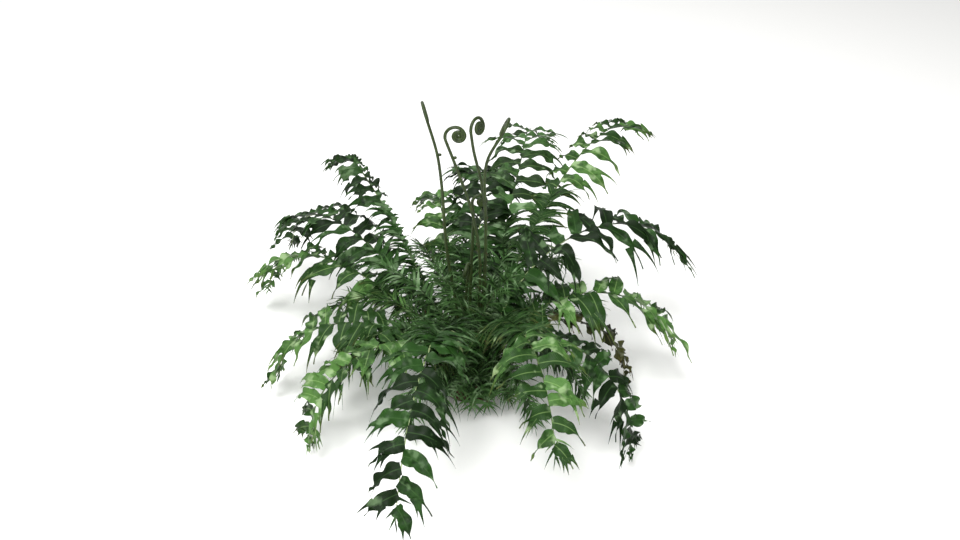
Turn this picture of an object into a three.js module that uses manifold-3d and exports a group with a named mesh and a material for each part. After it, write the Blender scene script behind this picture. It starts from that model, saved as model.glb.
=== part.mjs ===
// Sword fern (Polystichum munitum), one crown lifted out of the ground and standing on its flat underside.
// Millimetres, +Z up, origin at the centre of the crown's flat underside, +X to the viewer's right.
// Each frond is one body: a stalk with its leaflets drawn out of the stalk's two lower walls.
import * as THREE from "three";
import { mergeVertices } from "three/addons/utils/BufferGeometryUtils.js";
import Module from "manifold-3d";

const wasm = await Module();
wasm.setup();

// Crown: the short upright rootstock that every frond grows from
const CROWN_RADIUS = 66;
const CROWN_HEIGHT = 62;
const CROWN_SIDES = 14;
const CROWN_SCALE_ROWS = [9, 23];
const CROWN_SCALES_A_ROW = 7;
const CROWN_SCALE_LENGTH = 19;
const CROWN_SCALE_WIDTH = 13;
const OLD_BASES = 5;
const OLD_BASE_LENGTH = 34;
const OLD_BASE_RADIUS = 4.2;

// Fronds: where a stalk starts inside the crown, and how thick it is at foot and tip
const FOOT_HEIGHT = 26;
const ARCH_POWER = 1.15;
const PATH_STEPS = 96;
const STALK_HALF_WIDTH = 2.9;
const STALK_DEPTH = 3.6;
const STALK_TIP_SHARE = 0.26;

// Leaflets: a close comb of narrow ones on the inner half, broad long-pointed ones beyond it
const BLADE_THICKNESS = 0.7;
const COMB_LENGTH = 76;
const COMB_WIDTH = 12;
const COMB_BASE = 9;
const COMB_FOOT_SHARE = 0.62;
const BROAD_END = 0.985;
const BROAD_LENGTH = 104;
const BROAD_WIDTH = 28;
const BROAD_BASE = 8;
const FORK_SHARE = 0.13;
const FORK_END = 0.9;
const FORK_REACH = 0.85;
const LEAFLET_STEPS = 8;
const BENDS_A_STEP = 4;
const SMALLEST_SHARE = 0.45;
const FULL_FROND_LENGTH = 1300;
const TIP_NARROWING = 0.2;
const TIP_SHORTENING = 0.34;
const SWEEP = 0.5;
const HANG_POWER = 1.5;

// Section places on a leaflet (step, half width on the near and far side, rise of the near edge)
const COMB_SECTIONS = [[2, 0.9, 1, 0]];
const broadSections = (wave) => [[1, 0.9, 0.95, 0], [3, 0.88, 0.84, wave], [5, 0.44, 0.5, -wave]];

// Clearance between neighbouring pieces
const FIT_GAP = 0.5;
const HOLE_GAP = 0.8;
const HOLE_DEPTH = 45;
const LEAF_GAP = 0.5;
const FLOOR_CLEARANCE = 8;
const LENGTH_TRIES = [1, 0.86, 0.72, 0.58, 0.44, 0.32];
const LIFT_TRIES = [0, 0.35, -0.35, 0.7, -0.7];

// Habit: radius of the ring of feet, bare length of the foot, spacing and forward lean of the comb's leaflets
const BROAD_SPACING = 23;
const MAIN_HABIT = { ring: 40, combStart: 52, combSpacing: 57, lean: 28 };
const INNER_HABIT = { ring: 23, combStart: 52, combSpacing: 40, lean: 44 };
const FRINGE_HABIT = { ring: 40, combStart: 36, combSpacing: 17, lean: 26 };
const SHORT_FROND_COMB_END = 0.97;

// Long fronds with shorter leaflets on one side: that side (1 is left, looking out along the stalk)
// and the share of their length
const SHY_SIDES = { frond_back_right_long: [1, 0.55], frond_back_left_long: [-1, 0.5] };

// Name, azimuth of the foot, length, slope at the foot, slope at the tip, sideways swing (degrees),
// size of its leaflets, tone, and for the long fronds the share of the stalk where the comb ends
const MAIN_FRONDS = [
  ["frond_right", 3, 518, 81, -68, 3, 1.2, "bright", 0.34],
  ["frond_back_right_low", 32, 645, 86, -56, -8, 1.15, "dark", 0.32],
  ["frond_back_right_long", 52, 905, 68, -37, 12, 0.95, "bright", 0.46],
  ["frond_back_right_high", 68, 760, 63, -24, 19, 0.95, "mid", 0.42],
  ["frond_back", 83, 705, 77, -53, 8, 0.95, "dark", 0.42],
  ["frond_back_left_short", 104, 640, 67, -50, -10, 0.75, "bright", 0.42],
  ["frond_back_left_long", 129, 835, 57, -38, -28, 0.72, "dark", 0.5],
  ["frond_left_back", 144, 775, 62, -64, -27, 0.9, "dark", 0.4],
  ["frond_left_high", 157, 695, 60, -70, -29, 0.85, "bright", 0.36],
  ["frond_left", 194, 505, 71, -82, -33, 1.1, "bright", 0.3],
  ["frond_left_front", 222, 535, 81, -100, -18, 0.95, "bright", 0.3],
  ["frond_front", 257, 790, 78, -57, 4, 0.9, "dark", 0.56],
  ["frond_front_right", 298, 635, 88, -60, -20, 0.95, "bright", 0.6],
  ["frond_right_front", 320, 565, 84, -98, 2, 0.85, "dark", 0.42],
  ["frond_right_brown", 344, 480, 88, -108, 26, 0.6, "brown", 0.36],
];
const INNER_FRONDS = [
  ["inner_frond_right", 22, 370, 80, -58, 6, 1, "mid"],
  ["inner_frond_right_back", 43, 400, 80, -44, 11, 1, "mid"],
  ["inner_frond_back", 94, 420, 83, -30, -4, 1, "mid"],
  ["inner_frond_back_left", 121, 400, 80, -40, -20, 1, "mid"],
  ["inner_frond_left_back", 172, 390, 80, -54, -22, 1, "bright"],
  ["inner_frond_left", 205, 350, 80, -66, -14, 1, "bright"],
  ["inner_frond_left_front", 239, 290, 79, -88, -5, 1, "mid"],
  ["heart_frond_front_left", 266, 330, 90, 50, -40, 1, "mid"],
  ["heart_frond_front_right", 286, 345, 89, 46, 36, 1, "mid"],
  ["inner_frond_right_front", 310, 270, 78, -90, -8, 1, "mid"],
  ["inner_frond_right_low", 332, 320, 79, -82, 6, 1, "mid"],
  ["heart_frond_right", 357, 270, 86, -14, 8, 1, "mid"],
  ["heart_frond_back_right", 68, 300, 86, 4, -6, 1, "mid"],
  ["heart_frond_back_left", 147, 310, 85, 0, 6, 1, "mid"],
  ["heart_frond_left", 188, 260, 85, -22, 10, 1, "mid"],
  ["heart_frond_front", 222, 300, 87, 6, 34, 1, "mid"],
];
const FRINGE_FRONDS = [
  ["fringe_frond_left", 239, 95, 70, -70, -6, 1, "mid"],
  ["fringe_frond_middle", 272, 90, 72, -76, 0, 1, "mid"],
  ["fringe_frond_right", 285, 94, 70, -72, 6, 1, "mid"],
  ["fringe_frond_far_right", 309, 100, 68, -68, 4, 1, "mid"],
];

// Croziers: stem points from foot to hook, plane of the coil (degrees), coil radius
const CROZIERS = [
  [
    "crozier_tall_left",
    [[-11, 8, 30], [-28, 14, 180], [-47, 18, 320], [-54, 22, 450], [-62, 26, 520], [-80, 28, 590]],
    97,
    15,
  ],
  [
    "crozier_coil",
    [[2, -10, 30], [14, -14, 170], [18, -16, 318], [4, -14, 415], [-25, -12, 508], [-45, -12, 566]],
    0,
    12,
  ],
  [
    "crozier_hook",
    [[8, 9, 30], [22, 14, 180], [30, 16, 340], [24, 18, 450], [7, 18, 530], [2, 18, 566]],
    54,
    13,
  ],
  [
    "crozier_leaning_right",
    [[13, -4, 30], [26, -6, 180], [30, -6, 380], [31, -4, 515], [60, -4, 574]],
    82,
    14,
  ],
  [
    "crozier_small",
    [[-2, 10, 30], [-2, 26, 150], [2, 32, 280], [6, 34, 385], [4, 34, 412]],
    12,
    9,
  ],
  [
    "crozier_bud",
    [[-8, -9, 30], [-12, -16, 150], [-8, -20, 250], [-2, -22, 300]],
    250,
    9,
  ],
];
const CROZIER_RADIUS = 2.9;
const CROZIER_SIDES = 5;
const COIL_TURNS = 1.15;
const COIL_PITCH = 6.9;
const HOOK_REACH = 2.1;

const TONES = {
  dark: 0x2c4a2a,
  mid: 0x3c6435,
  bright: 0x57893f,
  brown: 0x574a2c,
};
const UP = new THREE.Vector3(0, 0, 1);
const rad = THREE.MathUtils.degToRad;
const lerp = THREE.MathUtils.lerp;
const smooth = THREE.MathUtils.smoothstep;

// A repeatable draw between -1 and 1
function draw(plant, leaf, kind) {
  const v = Math.sin(plant * 127.1 + leaf * 311.7 + kind * 74.7) * 43758.5453;
  return 2 * (v - Math.floor(v)) - 1;
}

const mix = (start, ...steps) => {
  const point = start.clone();
  for (const [vector, amount] of steps) point.addScaledVector(vector, amount);
  return point;
};

// A closed surface gathered from points and triangles
class Skin {
  constructor() {
    this.points = [];
    this.faces = [];
  }

  add(...points) {
    const first = this.points.length;
    this.points.push(...points);
    return points.map((_, i) => first + i);
  }

  // A four-sided face, split from its first corner, or from its second one
  quad(a, b, c, d, fromSecond = false) {
    if (fromSecond) this.faces.push([a, b, d], [b, c, d]);
    else this.faces.push([a, b, c], [a, c, d]);
  }

  geometry() {
    const flat = this.points.flatMap((p) => [p.x, p.y, p.z]);
    const geometry = new THREE.BufferGeometry();
    geometry.setAttribute("position", new THREE.Float32BufferAttribute(flat, 3));
    geometry.setIndex(this.faces.flat());
    return geometry;
  }
}

// three.js geometry to a solid and back
function solidFrom(geometry) {
  const bare = geometry.clone();
  bare.deleteAttribute("normal");
  bare.deleteAttribute("uv");
  const merged = mergeVertices(bare, 1e-4);
  return new wasm.Manifold(
    new wasm.Mesh({
      numProp: 3,
      vertProperties: merged.attributes.position.array,
      triVerts: new Uint32Array(merged.index.array),
    }),
  );
}

function geometryFrom(solid) {
  const mesh = solid.getMesh();
  const geometry = new THREE.BufferGeometry();
  geometry.setAttribute("position", new THREE.BufferAttribute(mesh.vertProperties, 3));
  geometry.setIndex(new THREE.BufferAttribute(mesh.triVerts, 1));
  return geometry;
}

// The arching path of a frond: its slope runs from rise to end, its heading swings to one side
function frondPath([name, azimuth, length, rise, end, swing, leafSize, tone, combEnd], habit) {
  const ring = habit.ring;
  const heading = rad(azimuth);
  const direction = (s) => {
    const slope = rad(lerp(rise, end, Math.max(s, 0) ** ARCH_POWER));
    const turn = rad(azimuth + swing * s);
    const level = Math.cos(slope);
    return new THREE.Vector3(level * Math.cos(turn), level * Math.sin(turn), Math.sin(slope));
  };
  const points = [new THREE.Vector3(ring * Math.cos(heading), ring * Math.sin(heading), FOOT_HEIGHT)];
  for (let i = 0; i < PATH_STEPS; i++) {
    points.push(mix(points[i], [direction((i + 0.5) / PATH_STEPS), length / PATH_STEPS]));
  }
  return { name, length, points, direction, azimuth, swing, leafSize, tone, habit, combEnd };
}

// Position and frame on a path: forward, left and up
function frameAt(path, s) {
  const along = THREE.MathUtils.clamp(s, 0, 1) * PATH_STEPS;
  const step = Math.min(Math.floor(along), PATH_STEPS - 1);
  const turn = rad(path.azimuth + path.swing * s);
  const forward = path.direction(s);
  const left = new THREE.Vector3(-Math.sin(turn), Math.cos(turn), 0);
  const beforeFoot = Math.min(s, 0) * path.length;
  return {
    at: mix(path.points[step].clone().lerp(path.points[step + 1], along - step), [forward, beforeFoot]),
    forward,
    left,
    up: forward.clone().cross(left),
  };
}

// Three corners of the stalk: left edge, right edge and keel
function stalkCorners(path, s, extra = 0) {
  const { at, left, up } = frameAt(path, s);
  const share = lerp(1, STALK_TIP_SHARE, s);
  const half = STALK_HALF_WIDTH * share + 1.8 * extra;
  const rise = extra;
  return [
    mix(at, [left, half], [up, rise]),
    mix(at, [left, -half], [up, rise]),
    mix(at, [up, -STALK_DEPTH * share - 2 * extra]),
  ];
}

// How long, how broad and how far forward a leaflet is, from its place on the stalk
function leafletPlan(path, plant, index, s, side, broad) {
  const spread = smooth(s, 0.02, 0.3);
  const narrowing = 1 - TIP_NARROWING * smooth(s, 0.72, 0.92) - TIP_SHORTENING * smooth(s, 0.92, 1);
  const [shySide, shyShare] = SHY_SIDES[path.name] ?? [1, 1];
  const evened = side === shySide ? shyShare : 1;
  const fullness = Math.min(1, SMALLEST_SHARE + path.length / FULL_FROND_LENGTH);
  const vary = 1 + 0.14 * draw(plant, index, 1);
  const length = narrowing * (broad ? BROAD_LENGTH : COMB_LENGTH * lerp(COMB_FOOT_SHARE, 1, spread));
  return {
    s,
    side,
    broad,
    base: broad ? BROAD_BASE : COMB_BASE,
    length: length * fullness * path.leafSize * evened * vary,
    width: (broad ? BROAD_WIDTH * (0.5 + 0.5 * narrowing) : COMB_WIDTH) * (0.6 + 0.4 * fullness),
    forward: rad(lerp(broad ? 14 : path.habit.lean, 44, smooth(s, 0.86, 1)) + 13 * draw(plant, index, 2)),
    lift: 0.24 + 0.26 * draw(plant, index, 3),
    droop: ((broad ? 2 : 1.3) + 0.8 * draw(plant, index, 4)) * (1 - 0.5 * smooth(s, 0.7, 1)),
    sweep: broad ? SWEEP * (0.3 + draw(plant, index, 6)) : 0,
    twist: rad(36 * draw(plant, index, 5)),
    wave: broad ? 2.6 * draw(plant, index, 6) : 0,
    fork: broad && s < FORK_END && draw(plant, index, 7) > 1 - 2 * FORK_SHARE,
  };
}

// Leaflets in order from the foot: the comb in pairs, the broad ones turn about
function leafletPlans(path, plant) {
  const { combSpacing } = path.habit;
  const combEnd = path.combEnd ?? SHORT_FROND_COMB_END;
  const plans = [];
  const combStart = path.habit.combStart / path.length;
  const combCount = Math.round(((combEnd - combStart) * path.length) / combSpacing);
  const broadCount = Math.round(((BROAD_END - combEnd) * path.length) / BROAD_SPACING);
  for (let i = 0; i < combCount; i++) {
    const s = lerp(combStart, combEnd, (i + 0.5) / combCount);
    plans.push([
      leafletPlan(path, plant, 2 * i, s, 1, false),
      leafletPlan(path, plant, 2 * i + 1, s, -1, false),
    ]);
  }
  for (let i = 0; i < broadCount; i++) {
    const s = lerp(combEnd, BROAD_END, (i + 0.5) / broadCount);
    plans.push([leafletPlan(path, plant, 100 + i, s, i % 2 ? -1 : 1, true)]);
  }
  return plans;
}

// Middle line of a leaflet, bending down under its own weight, with its width and face directions
function leafletSpine(path, plan, scale, lift, steps) {
  const { at, forward, left, up } = frameAt(path, plan.s);
  const start = mix(
    new THREE.Vector3(),
    [left, plan.side * Math.cos(plan.forward)],
    [forward, Math.sin(plan.forward)],
  );
  start.addScaledVector(up, plan.lift);
  const bent = (t) => {
    const fall = lift * t - plan.droop * t ** HANG_POWER;
    return mix(start, [forward, plan.sweep * t], [UP, fall]).normalize();
  };
  const stations = [];
  const point = at.clone();
  for (let i = 0; i <= steps; i++) {
    const u = i / steps;
    const ahead = bent(u);
    const across = mix(forward, [ahead, -forward.dot(ahead)]).normalize();
    const face = ahead.clone().cross(across).multiplyScalar(plan.side > 0 ? -1 : 1);
    const turn = plan.twist * smooth(u, 0, 1) * plan.side;
    const width = mix(new THREE.Vector3(), [across, Math.cos(turn)], [face, Math.sin(turn)]);
    const normal = mix(new THREE.Vector3(), [face, Math.cos(turn)], [across, -Math.sin(turn)]);
    stations.push({ u, point: point.clone(), width, normal });
    for (let k = 0; k < BENDS_A_STEP && i < steps; k++) {
      const onward = bent((i + (k + 0.5) / BENDS_A_STEP) / steps);
      point.addScaledVector(onward, (plan.length * scale) / (steps * BENDS_A_STEP));
    }
  }
  return stations;
}

// Four corners of a leaflet's section, in the order of the stalk wall that it grows from
function leafletSection(station, near, far, rise, half, side) {
  const { point, width, normal } = station;
  const corners = {
    nearTop: mix(point, [width, -near], [normal, rise + half]),
    farTop: mix(point, [width, far], [normal, half - rise]),
    farLow: mix(point, [width, far], [normal, -half - rise]),
    nearLow: mix(point, [width, -near], [normal, rise - half]),
  };
  return side > 0
    ? [corners.nearTop, corners.farTop, corners.farLow, corners.nearLow]
    : [corners.nearTop, corners.nearLow, corners.farLow, corners.farTop];
}

// Sections of one leaflet from its waist to its drawn-out point, with a second point where it forks
function leafletSections(path, plan, scale, lift, extra) {
  const stations = leafletSpine(path, plan, scale, lift, LEAFLET_STEPS);
  const half = BLADE_THICKNESS / 2 + extra;
  const w = plan.width / 2;
  const picks = plan.broad ? broadSections(plan.wave).slice(0, plan.s < 0.8 ? 3 : 2) : COMB_SECTIONS;
  const sections = picks.map(([step, near, far, rise]) =>
    leafletSection(stations[step], w * near + extra, w * far + extra, rise, half, plan.side),
  );
  const end = stations[LEAFLET_STEPS].point;
  const onward = end.clone().sub(stations[LEAFLET_STEPS - 1].point).normalize();
  const branch = stations[LEAFLET_STEPS - 1];
  return {
    sections,
    tip: mix(end, [onward, extra]),
    forkTip: mix(branch.point, [branch.width, plan.width * FORK_REACH + extra]),
  };
}

function closeToPoint(skin, ring, tip) {
  ring.forEach((corner, k) => skin.faces.push([corner, ring[(k + 1) % ring.length], tip]));
}

// One leaflet drawn out of a ring of four corners, its upper and lower face split alike
function growLeaflet(skin, ring, path, plan, scale, lift, extra = 0) {
  const { sections, tip, forkTip } = leafletSections(path, plan, scale, lift, extra);
  const lowerWall = plan.side > 0 ? 2 : 1;
  const farWall = plan.side > 0 ? 1 : 2;
  let last = ring;
  sections.forEach((section, i) => {
    const next = skin.add(...section);
    for (let k = 0; k < 4; k++) {
      const n = (k + 1) % 4;
      const forks = plan.fork && i === sections.length - 1 && k === farWall;
      if (forks) closeToPoint(skin, [last[k], last[n], next[n], next[k]], skin.add(forkTip)[0]);
      else skin.quad(last[k], last[n], next[n], next[k], k === lowerWall);
    }
    last = next;
  });
  closeToPoint(skin, last, skin.add(tip)[0]);
}

// One leaflet by itself, a little swollen, to try its room
function leafletProbe(path, plan, scale, lift) {
  const skin = new Skin();
  const half = plan.base / 2 / path.length;
  const [l0, r0, k0] = stalkCorners(path, plan.s - half);
  const [l1, r1, k1] = stalkCorners(path, plan.s + half);
  const ring = skin.add(...(plan.side > 0 ? [l0, l1, k1, k0] : [r0, k0, k1, r1]));
  skin.quad(ring[3], ring[2], ring[1], ring[0]);
  growLeaflet(skin, ring, path, plan, scale, lift, LEAF_GAP);
  return solidFrom(skin.geometry());
}

// Places on the stalk where its corners stand: the foot, and both ends of each leaflet's root
function stalkStations(path, plans) {
  const roots = plans.flatMap(([{ s, base }]) => [s - base / 2 / path.length, s + base / 2 / path.length]);
  return [0, (0.5 * path.habit.combStart) / path.length, ...roots];
}

// A whole frond: its leaflets grow in place of the stalk's wall between the two ends of their root
function frondGeometry(path, plans) {
  const skin = new Skin();
  const stations = stalkStations(path, plans);
  const stalk = (s) => skin.add(...stalkCorners(path, s));
  let last = stalk(0);
  skin.faces.push([last[1], last[0], last[2]]);
  const segment = (next, leftPlan, rightPlan) => {
    const [l0, r0, k0] = last;
    const [l1, r1, k1] = next;
    skin.quad(r0, r1, l1, l0);
    if (leftPlan) growLeaflet(skin, [l0, l1, k1, k0], path, leftPlan, leftPlan.scale, leftPlan.turnUp);
    else skin.quad(l0, l1, k1, k0);
    if (rightPlan) growLeaflet(skin, [r0, k0, k1, r1], path, rightPlan, rightPlan.scale, rightPlan.turnUp);
    else skin.quad(r0, k0, k1, r1);
    last = next;
  };
  segment(stalk(stations[1]));
  plans.forEach((group, i) => {
    const kept = group.filter((plan) => plan.scale);
    segment(stalk(stations[2 * i + 2]));
    segment(
      stalk(stations[2 * i + 3]),
      kept.find((plan) => plan.side > 0),
      kept.find((plan) => plan.side < 0),
    );
  });
  const [l, r, k] = last;
  const end = skin.add(frameAt(path, 1).at)[0];
  skin.faces.push([r, end, l], [l, end, k], [r, k, end]);
  return skin.geometry();
}

// A bare stalk through some places on its path, swollen by a clearance
function stalkSolid(path, stations, extra) {
  const skin = new Skin();
  let last = skin.add(...stalkCorners(path, stations[0], extra));
  skin.faces.push([last[1], last[0], last[2]]);
  for (const s of stations.slice(1)) {
    const next = skin.add(...stalkCorners(path, s, extra));
    skin.quad(last[1], next[1], next[0], last[0]);
    skin.quad(last[0], next[0], next[2], last[2]);
    skin.quad(last[1], last[2], next[2], next[1]);
    last = next;
  }
  skin.faces.push([last[0], last[1], last[2]]);
  return solidFrom(skin.geometry());
}

// A round stem through points, with a radius at each
function stemGeometry(points, radii, sides) {
  const skin = new Skin();
  let across = new THREE.Vector3(1, 0, 0);
  const rings = points.map((point, i) => {
    const next = points[Math.min(i + 1, points.length - 1)];
    const ahead = next.clone().sub(points[Math.max(i - 1, 0)]).normalize();
    across = mix(across, [ahead, -across.dot(ahead)]).normalize();
    const over = ahead.clone().cross(across);
    const ring = [];
    for (let k = 0; k < sides; k++) {
      const angle = (2 * Math.PI * k) / sides;
      ring.push(mix(point, [across, radii[i] * Math.cos(angle)], [over, radii[i] * Math.sin(angle)]));
    }
    return skin.add(...ring);
  });
  const foot = rings[0];
  const head = rings[rings.length - 1];
  for (let k = 1; k < sides - 1; k++) {
    skin.faces.push([foot[0], foot[k + 1], foot[k]], [head[0], head[k], head[k + 1]]);
  }
  for (let i = 1; i < rings.length; i++) {
    for (let k = 0; k < sides; k++) {
      const n = (k + 1) % sides;
      skin.quad(rings[i - 1][k], rings[i - 1][n], rings[i][n], rings[i][k]);
    }
  }
  return skin.geometry();
}

// A crozier's path: a swaying stem, then a hook that winds in to a flat coil
function crozierPath(stem, plane, coil) {
  const curve = new THREE.CatmullRomCurve3(stem.map((p) => new THREE.Vector3(...p)), false, "centripetal");
  const stemSteps = 7;
  const points = [];
  for (let i = 0; i <= stemSteps; i++) points.push(curve.getPoint(i / stemSteps));
  const upward = curve.getTangent(1);
  const facing = new THREE.Vector3(Math.cos(rad(plane)), Math.sin(rad(plane)), 0);
  const out = mix(facing, [upward, -facing.dot(upward)]).normalize();
  const reach = coil * HOOK_REACH;
  const centre = mix(points[stemSteps], [out, reach]);
  const hookSteps = 5;
  const coilSteps = Math.round(8 * COIL_TURNS);
  for (let i = 1; i <= hookSteps + coilSteps; i++) {
    const turned = i <= hookSteps ? i / hookSteps / 2 : 0.5 + ((i - hookSteps) / coilSteps) * COIL_TURNS;
    const hooked = lerp(reach, coil, smooth(turned, 0, 0.5));
    const radius = turned <= 0.5 ? hooked : coil - (turned - 0.5) * COIL_PITCH;
    const angle = Math.PI - 2 * Math.PI * turned;
    points.push(mix(centre, [out, radius * Math.cos(angle)], [upward, radius * Math.sin(angle)]));
  }
  return { points, stemSteps };
}

function crozierRadii({ points, stemSteps }) {
  return points.map((_, i) => {
    const up = Math.min(1, i / stemSteps);
    const wound = Math.max(0, (i - stemSteps) / (points.length - 1 - stemSteps));
    return CROZIER_RADIUS * (1.05 - 0.25 * up) * (1 + 0.18 * Math.sin(Math.PI * wound) - 0.12 * wound);
  });
}

// The crown: a low dome with old broken leaf bases and overlapping scales, and a plain hole for each stalk
function crownSolid(holes) {
  const profile = [
    [0, 0],
    [CROWN_RADIUS - 6, 0],
    [CROWN_RADIUS, 12],
    [CROWN_RADIUS - 4, 30],
    [CROWN_RADIUS * 0.62, CROWN_HEIGHT - 8],
    [0, CROWN_HEIGHT],
  ].map(([x, y]) => new THREE.Vector2(x, y));
  const dome = new THREE.LatheGeometry(profile, CROWN_SIDES).rotateX(Math.PI / 2);
  const pieces = [solidFrom(dome)];
  for (let i = 0; i < OLD_BASES; i++) {
    const angle = rad((360 * (i + 0.5 + 0.3 * draw(70, i, 1))) / OLD_BASES);
    const out = new THREE.Vector3(Math.cos(angle), Math.sin(angle), 0);
    const foot = mix(new THREE.Vector3(), [out, CROWN_RADIUS - 12], [UP, 16]);
    const length = OLD_BASE_LENGTH * (1 + 0.25 * draw(70, i, 2));
    const head = mix(foot, [out, length * 0.62], [UP, length * 0.78]);
    const radii = [OLD_BASE_RADIUS * 1.15, OLD_BASE_RADIUS * 0.85];
    pieces.push(solidFrom(stemGeometry([foot, head], radii, 5)));
  }
  CROWN_SCALE_ROWS.forEach((height, row) => {
    for (let i = 0; i < CROWN_SCALES_A_ROW; i++) {
      const angle = rad((360 * (i + 0.5 * row + 0.16 * draw(71 + row, i, 1))) / CROWN_SCALES_A_ROW);
      const out = new THREE.Vector3(Math.cos(angle), Math.sin(angle), 0);
      const beside = new THREE.Vector3(-Math.sin(angle), Math.cos(angle), 0);
      const length = CROWN_SCALE_LENGTH * (1 + 0.2 * draw(71 + row, i, 2));
      const root = mix(new THREE.Vector3(), [out, CROWN_RADIUS - 7], [UP, height]);
      const tip = mix(root, [out, 12], [UP, length * 0.8]);
      const skin = new Skin();
      const ring = skin.add(
        mix(root, [beside, CROWN_SCALE_WIDTH / 2]),
        mix(root, [beside, -CROWN_SCALE_WIDTH / 2]),
        mix(root, [out, 8], [UP, -2]),
      );
      skin.faces.push([ring[0], ring[1], ring[2]].reverse());
      closeToPoint(skin, ring, skin.add(tip)[0]);
      const scale = solidFrom(skin.geometry());
      pieces.push(scale);
    }
  });
  return wasm.Manifold.union(pieces).subtract(wasm.Manifold.union(holes));
}

const boxesMeet = (a, b) => [0, 1, 2].every((i) => a.min[i] < b.max[i] && b.min[i] < a.max[i]);

// Pieces already in place, with their boxes, that a new leaflet must stay clear of
class Neighbours {
  constructor() {
    this.solids = [];
  }

  add(owner, solid) {
    this.solids.push({ owner, solid, box: solid.boundingBox() });
  }

  meets(probe, owner) {
    const box = probe.boundingBox();
    if (box.min[2] < FLOOR_CLEARANCE) return true;
    const near = this.solids.filter((other) => other.owner !== owner && boxesMeet(box, other.box));
    return near.some((other) => probe.intersect(other.solid).volume() > 0);
  }
}

// Bend a leaflet clear of its neighbours, then shorten it, and leave it out where nothing fits
function settleLeaflet(path, plan, neighbours, own) {
  for (const scale of LENGTH_TRIES) {
    for (const lift of LIFT_TRIES) {
      const probe = leafletProbe(path, plan, scale, lift);
      const crowded = neighbours.meets(probe, path.name) || own.meets(probe, null);
      if (!crowded) {
        plan.scale = scale;
        plan.turnUp = lift;
        own.add("leaflet", probe);
        return;
      }
    }
  }
  plan.scale = 0;
}

const fern = new THREE.Group();

function addPiece(name, geometry, color, roughness = 0.6) {
  const material = new THREE.MeshStandardMaterial({ color, roughness, metalness: 0, flatShading: true });
  const mesh = new THREE.Mesh(geometry, material);
  mesh.name = name;
  fern.add(mesh);
  return mesh;
}

const fronds = [
  ...MAIN_FRONDS.map((frond) => frondPath(frond, MAIN_HABIT)),
  ...INNER_FRONDS.map((frond) => frondPath(frond, INNER_HABIT)),
  ...FRINGE_FRONDS.map((frond) => frondPath(frond, FRINGE_HABIT)),
].map((path, plant) => ({ path, plans: leafletPlans(path, plant) }));
const neighbours = new Neighbours();
const holes = [];

// Croziers stand first, with their holes in the crown
for (const [name, stem, plane, coil] of CROZIERS) {
  const path = crozierPath(stem, plane, coil);
  const geometry = stemGeometry(path.points, crozierRadii(path), CROZIER_SIDES);
  addPiece(name, geometry, 0x5d6b3a, 0.5);
  neighbours.add(name, solidFrom(geometry));
  const foot = path.points[0];
  const ahead = path.points[1].clone().sub(foot).normalize();
  const bottom = mix(foot, [ahead, -FIT_GAP]);
  const hole = [bottom, mix(foot, [ahead, HOLE_DEPTH])];
  holes.push(solidFrom(stemGeometry(hole, hole.map(() => CROZIER_RADIUS * 1.1 + HOLE_GAP), 6)));
}

// Stalks next, with theirs
for (const { path, plans } of fronds) {
  neighbours.add(path.name, stalkSolid(path, [...stalkStations(path, plans), 1], FIT_GAP / 2));
  const above = stalkStations(path, plans).slice(1);
  const end = above.findIndex((s) => s * path.length > HOLE_DEPTH);
  holes.push(stalkSolid(path, [-FIT_GAP / path.length, ...above.slice(0, end + 1)], HOLE_GAP));
}
const crown = crownSolid(holes);
addPiece("crown", geometryFrom(crown), 0x4a3424, 0.85);
neighbours.add("crown", crown);

// Then each frond's leaflets, tried one by one
for (const { path, plans } of fronds) {
  const own = new Neighbours();
  plans.flat().forEach((plan) => settleLeaflet(path, plan, neighbours, own));
  const geometry = frondGeometry(path, plans);
  addPiece(path.name, geometry, TONES[path.tone]);
  neighbours.add(path.name, solidFrom(geometry));
}

export default fern;
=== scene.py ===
# A sword fern without a pot: leafy fronds, curled young croziers and the scaly crown.
# Lengths are worked out in millimetres and turned to metres where a mesh is made.
import math

import bpy
import numpy as np
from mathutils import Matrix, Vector


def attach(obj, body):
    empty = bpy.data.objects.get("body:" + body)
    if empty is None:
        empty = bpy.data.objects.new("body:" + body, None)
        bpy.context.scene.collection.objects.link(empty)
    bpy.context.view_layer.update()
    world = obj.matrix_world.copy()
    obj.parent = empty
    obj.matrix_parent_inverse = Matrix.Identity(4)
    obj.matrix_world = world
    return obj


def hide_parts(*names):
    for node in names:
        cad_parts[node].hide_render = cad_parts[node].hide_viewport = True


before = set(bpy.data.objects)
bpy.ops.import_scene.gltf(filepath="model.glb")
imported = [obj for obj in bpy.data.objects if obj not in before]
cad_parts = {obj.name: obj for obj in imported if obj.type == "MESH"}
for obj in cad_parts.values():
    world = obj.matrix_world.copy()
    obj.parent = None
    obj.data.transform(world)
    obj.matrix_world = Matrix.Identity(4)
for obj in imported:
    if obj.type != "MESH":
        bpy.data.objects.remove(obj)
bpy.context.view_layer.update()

METRES = 0.001
UP = np.array([0.0, 0.0, 1.0])
SHARP_EDGE = 55
# Length of blade or stem that one unit of its lengthwise marks stands for
MARK_LENGTH = 100

# Stalks run where those of the bare plant run, and are thinner towards the tip
FOOT_HEIGHT = 26
ARCH_POWER = 1.15
PATH_STEPS = 96
STALK_STATIONS = 80
STALK_HALF_WIDTH = 2.9
STALK_DEPTH = 3.6
STALK_TIP_SHARE = 0.26
# Corners round a stalk in half widths and depths: a shallow groove above, a rounded back below
STALK_PROFILE = [
    (1, -0.05), (0.62, 0.12), (0, -0.06), (-0.62, 0.12),
    (-1, -0.05), (-0.72, -0.62), (0, -0.95), (0.72, -0.62),
]

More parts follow.
